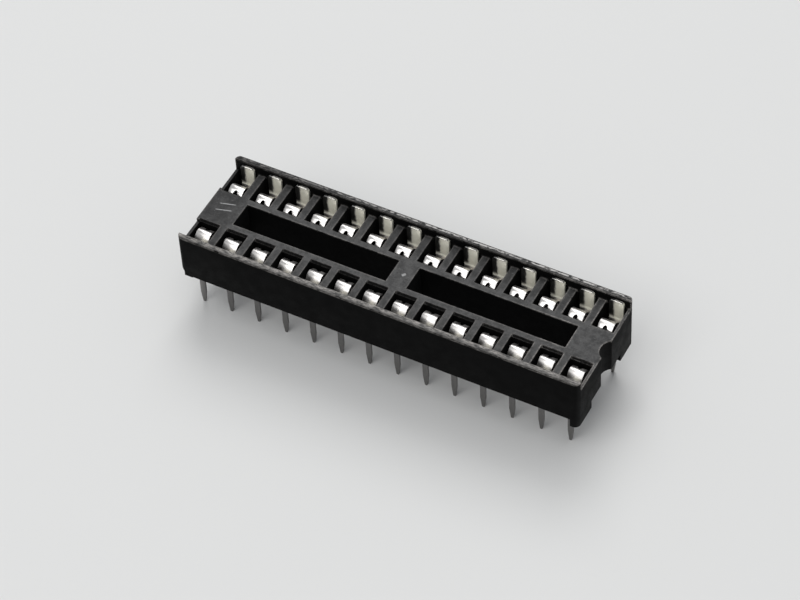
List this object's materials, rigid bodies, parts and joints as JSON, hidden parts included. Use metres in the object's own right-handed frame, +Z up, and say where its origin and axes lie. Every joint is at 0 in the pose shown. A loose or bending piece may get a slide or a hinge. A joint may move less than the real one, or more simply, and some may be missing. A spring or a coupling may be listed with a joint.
{
  "type": "ic socket",
  "caption": "Dual-in-line chip socket: black open-frame housing with raised side walls and an end notch, holding rows of tin-plated dual-leaf contacts with straight solder tails.",
  "frame": {"origin": "centre of the footprint at the level of the solder-tail tips", "axes": "+X along the rows towards the notched end, +Y across the rows towards contacts 1 to 14, +Z up, away from the board"},
  "size_m": [0.0354, 0.01, 0.0083],
  "materials": {
    "housing": "black glass-filled thermoplastic, moulded, dry and slightly rough, edges scuffed grey",
    "contact": "phosphor-bronze strip with bright tin plate, lightly dulled"
  },
  "bodies": {
    "root": {"housing": "housing", "contact_01": "contact", "contact_02": "contact", "contact_03": "contact", "contact_04": "contact", "contact_05": "contact", "contact_06": "contact", "contact_07": "contact", "contact_08": "contact", "contact_09": "contact", "contact_10": "contact", "contact_11": "contact", "contact_12": "contact", "contact_13": "contact", "contact_14": "contact", "contact_15": "contact", "contact_16": "contact", "contact_17": "contact", "contact_18": "contact", "contact_19": "contact", "contact_20": "contact", "contact_21": "contact", "contact_22": "contact", "contact_23": "contact", "contact_24": "contact", "contact_25": "contact", "contact_26": "contact", "contact_27": "contact", "contact_28": "contact"}
  },
  "joints": []
}
